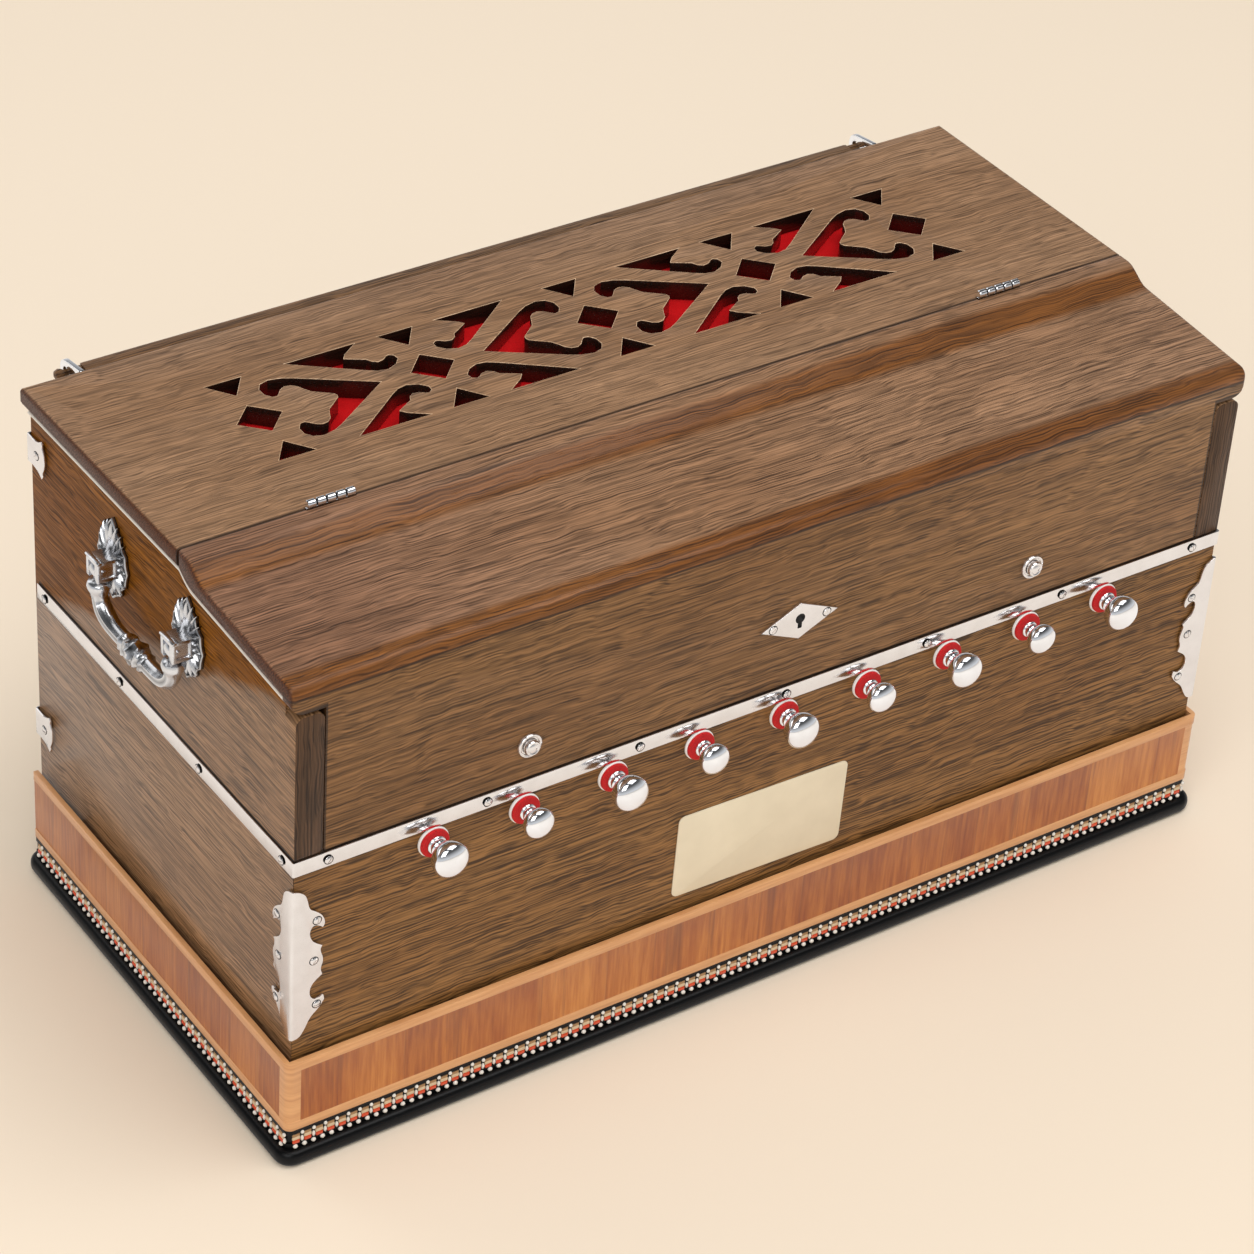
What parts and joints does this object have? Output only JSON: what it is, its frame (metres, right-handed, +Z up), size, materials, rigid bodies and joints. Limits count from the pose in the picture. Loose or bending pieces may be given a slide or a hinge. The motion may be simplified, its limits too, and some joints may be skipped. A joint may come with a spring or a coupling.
{
  "type": "portable harmonium",
  "caption": "Portable hand-pumped reed organ: walnut case with fretted lid over red cloth, hinged key cover, pull stops, drop handles and a rear bellows held by hooks.",
  "frame": {"origin": "middle of the underside of the base board's bounding box, on the surface it stands on", "axes": "+X to the player's right, -Y towards the player (stops and key cover), +Y towards the bellows, +Z up"},
  "size_m": [0.6404, 0.3426, 0.3255],
  "materials": {
    "black_lacquer": "deep black gloss lacquer on the base board",
    "bead_strip": "inlay strip of white beads, tan tiles and orange scallops",
    "plinth_veneer": "warm brown upright veneer with pale edgings, satin",
    "walnut": "medium brown walnut, fine grain, satin varnish",
    "dark_walnut": "dark stained board, satin",
    "pale_wood": "bare pale wood",
    "nickel_plate": "bright nickel plated sheet",
    "chrome_plate": "polished chrome plate",
    "antique_silver": "cast, silver plated, dark in the hollows",
    "red_cloth": "bright red cloth",
    "bellows_cloth": "dark red bellows cloth",
    "white_key": "key of wood with a glossy ivory coloured cover",
    "black_key": "key of wood, glossy black"
  },
  "bodies": {
    "case": {"base_plate": "black_lacquer", "plinth_trim": "plinth_veneer", "beaded_inlay": "bead_strip", "side_left": "walnut", "side_right": "walnut", "front_board": "walnut", "back_board": "walnut", "reed_board": "pale_wood", "reservoir_bellows": "bellows_cloth", "key_frame": "pale_wood", "name_board": "dark_walnut", "fret_top": "walnut", "grille_cloth": "red_cloth", "nickel_band": "nickel_plate", "front_bracket_left": "nickel_plate", "front_bracket_right": "nickel_plate", "rear_lower_bracket_left": "nickel_plate", "rear_lower_bracket_right": "nickel_plate", "rear_upper_bracket_left": "nickel_plate", "rear_upper_bracket_right": "nickel_plate", "handle_mount_left_front": "antique_silver", "handle_mount_left_rear": "antique_silver", "handle_mount_right_front": "antique_silver", "handle_mount_right_rear": "antique_silver", "hinge_leaf_fixed_left": "chrome_plate", "hinge_leaf_fixed_right": "chrome_plate"},
    "cover": {"front_cover": "walnut", "lock_escutcheon": "nickel_plate", "cover_lock": "nickel_plate", "cover_stud_left": "chrome_plate", "cover_stud_right": "chrome_plate", "hinge_leaf_moving_left": "chrome_plate", "hinge_leaf_moving_right": "chrome_plate"},
    "pump_board": {"bellows_board": "walnut", "bellows_folds": "bellows_cloth"},
    "hook_left": {"bellows_hook_left": "chrome_plate"},
    "hook_right": {"bellows_hook_right": "chrome_plate"},
    "bail_left": {"handle_bail_left": "antique_silver"},
    "bail_right": {"handle_bail_right": "antique_silver"},
    "stop_1": {"stop_knob_1": "chrome_plate"},
    "stop_2": {"stop_knob_2": "chrome_plate"},
    "stop_3": {"stop_knob_3": "chrome_plate"},
    "stop_4": {"stop_knob_4": "chrome_plate"},
    "stop_5": {"stop_knob_5": "chrome_plate"},
    "stop_6": {"stop_knob_6": "chrome_plate"},
    "stop_7": {"stop_knob_7": "chrome_plate"},
    "stop_8": {"stop_knob_8": "chrome_plate"},
    "stop_9": {"stop_knob_9": "chrome_plate"},
    "playing_key_c": {"key_c": "white_key"},
    "playing_key_d": {"key_d": "white_key"},
    "playing_key_e": {"key_e": "white_key"},
    "playing_key_f": {"key_f": "white_key"},
    "playing_key_g": {"key_g": "white_key"},
    "playing_key_a": {"key_a": "white_key"},
    "playing_key_b": {"key_b": "white_key"},
    "playing_key_c_sharp": {"key_c_sharp": "black_key"},
    "playing_key_d_sharp": {"key_d_sharp": "black_key"},
    "playing_key_f_sharp": {"key_f_sharp": "black_key"},
    "playing_key_g_sharp": {"key_g_sharp": "black_key"},
    "playing_key_a_sharp": {"key_a_sharp": "black_key"}
  },
  "joints": [
    {"name": "cover_hinge", "type": "hinge", "parent": "case", "child": "cover", "pos_m": [0, -0.03128, 0.3232], "axis": [-1, 0, 0], "range_deg": [0, 180]},
    {"name": "bellows_hinge", "type": "hinge", "parent": "case", "child": "pump_board", "pos_m": [0, 0.15287, 0.078], "axis": [-1, 0, 0], "range_deg": [0, 28], "deforming": ["bellows_folds"]},
    {"name": "hook_left_pivot", "type": "hinge", "parent": "case", "child": "hook_left", "pos_m": [-0.264, 0.14467, 0.3], "axis": [1, 0, 0], "range_deg": [0, 25]},
    {"name": "hook_right_pivot", "type": "hinge", "parent": "case", "child": "hook_right", "pos_m": [0.264, 0.14467, 0.3], "axis": [1, 0, 0], "range_deg": [0, 25]},
    {"name": "bail_left_pivot", "type": "hinge", "parent": "case", "child": "bail_left", "pos_m": [-0.3134, -0.00283, 0.27], "axis": [0, 1, 0], "range_deg": [0, 90]},
    {"name": "bail_right_pivot", "type": "hinge", "parent": "case", "child": "bail_right", "pos_m": [0.3134, -0.00283, 0.27], "axis": [0, -1, 0], "range_deg": [0, 90]},
    {"name": "stop_1_pull", "type": "slide", "parent": "case", "child": "stop_1", "axis": [0, -1, 0], "range_m": [0, 0.015]},
    {"name": "stop_2_pull", "type": "slide", "parent": "case", "child": "stop_2", "axis": [0, -1, 0], "range_m": [0, 0.015]},
    {"name": "stop_3_pull", "type": "slide", "parent": "case", "child": "stop_3", "axis": [0, -1, 0], "range_m": [0, 0.015]},
    {"name": "stop_4_pull", "type": "slide", "parent": "case", "child": "stop_4", "axis": [0, -1, 0], "range_m": [0, 0.015]},
    {"name": "stop_5_pull", "type": "slide", "parent": "case", "child": "stop_5", "axis": [0, -1, 0], "range_m": [0, 0.015]},
    {"name": "stop_6_pull", "type": "slide", "parent": "case", "child": "stop_6", "axis": [0, -1, 0], "range_m": [0, 0.015]},
    {"name": "stop_7_pull", "type": "slide", "parent": "case", "child": "stop_7", "axis": [0, -1, 0], "range_m": [0, 0.015]},
    {"name": "stop_8_pull", "type": "slide", "parent": "case", "child": "stop_8", "axis": [0, -1, 0], "range_m": [0, 0.015]},
    {"name": "stop_9_pull", "type": "slide", "parent": "case", "child": "stop_9", "axis": [0, -1, 0], "range_m": [0, 0.015]},
    {"name": "key_c_press", "type": "hinge", "parent": "case", "child": "playing_key_c", "pos_m": [-0.1125, 0.05717, 0.203], "axis": [1, 0, 0], "range_deg": [0, 2.2], "stiffness_Nm_per_rad": 2, "springref_deg": -2.86},
    {"name": "key_d_press", "type": "hinge", "parent": "case", "child": "playing_key_d", "pos_m": [-0.09, 0.05717, 0.203], "axis": [1, 0, 0], "range_deg": [0, 2.2], "stiffness_Nm_per_rad": 2, "springref_deg": -2.86},
    {"name": "key_e_press", "type": "hinge", "parent": "case", "child": "playing_key_e", "pos_m": [-0.0675, 0.05717, 0.203], "axis": [1, 0, 0], "range_deg": [0, 2.2], "stiffness_Nm_per_rad": 2, "springref_deg": -2.86},
    {"name": "key_f_press", "type": "hinge", "parent": "case", "child": "playing_key_f", "pos_m": [-0.045, 0.05717, 0.203], "axis": [1, 0, 0], "range_deg": [0, 2.2], "stiffness_Nm_per_rad": 2, "springref_deg": -2.86},
    {"name": "key_g_press", "type": "hinge", "parent": "case", "child": "playing_key_g", "pos_m": [-0.0225, 0.05717, 0.203], "axis": [1, 0, 0], "range_deg": [0, 2.2], "stiffness_Nm_per_rad": 2, "springref_deg": -2.86},
    {"name": "key_a_press", "type": "hinge", "parent": "case", "child": "playing_key_a", "pos_m": [0, 0.05717, 0.203], "axis": [1, 0, 0], "range_deg": [0, 2.2], "stiffness_Nm_per_rad": 2, "springref_deg": -2.86},
    {"name": "key_b_press", "type": "hinge", "parent": "case", "child": "playing_key_b", "pos_m": [0.0225, 0.05717, 0.203], "axis": [1, 0, 0], "range_deg": [0, 2.2], "stiffness_Nm_per_rad": 2, "springref_deg": -2.86},
    {"name": "key_c_sharp_press", "type": "hinge", "parent": "case", "child": "playing_key_c_sharp", "pos_m": [-0.10125, 0.05717, 0.203], "axis": [1, 0, 0], "range_deg": [0, 2.2], "stiffness_Nm_per_rad": 2, "springref_deg": -2.86},
    {"name": "key_d_sharp_press", "type": "hinge", "parent": "case", "child": "playing_key_d_sharp", "pos_m": [-0.07875, 0.05717, 0.203], "axis": [1, 0, 0], "range_deg": [0, 2.2], "stiffness_Nm_per_rad": 2, "springref_deg": -2.86},
    {"name": "key_f_sharp_press", "type": "hinge", "parent": "case", "child": "playing_key_f_sharp", "pos_m": [-0.03375, 0.05717, 0.203], "axis": [1, 0, 0], "range_deg": [0, 2.2], "stiffness_Nm_per_rad": 2, "springref_deg": -2.86},
    {"name": "key_g_sharp_press", "type": "hinge", "parent": "case", "child": "playing_key_g_sharp", "pos_m": [-0.01125, 0.05717, 0.203], "axis": [1, 0, 0], "range_deg": [0, 2.2], "stiffness_Nm_per_rad": 2, "springref_deg": -2.86},
    {"name": "key_a_sharp_press", "type": "hinge", "parent": "case", "child": "playing_key_a_sharp", "pos_m": [0.01125, 0.05717, 0.203], "axis": [1, 0, 0], "range_deg": [0, 2.2], "stiffness_Nm_per_rad": 2, "springref_deg": -2.86}
  ]
}
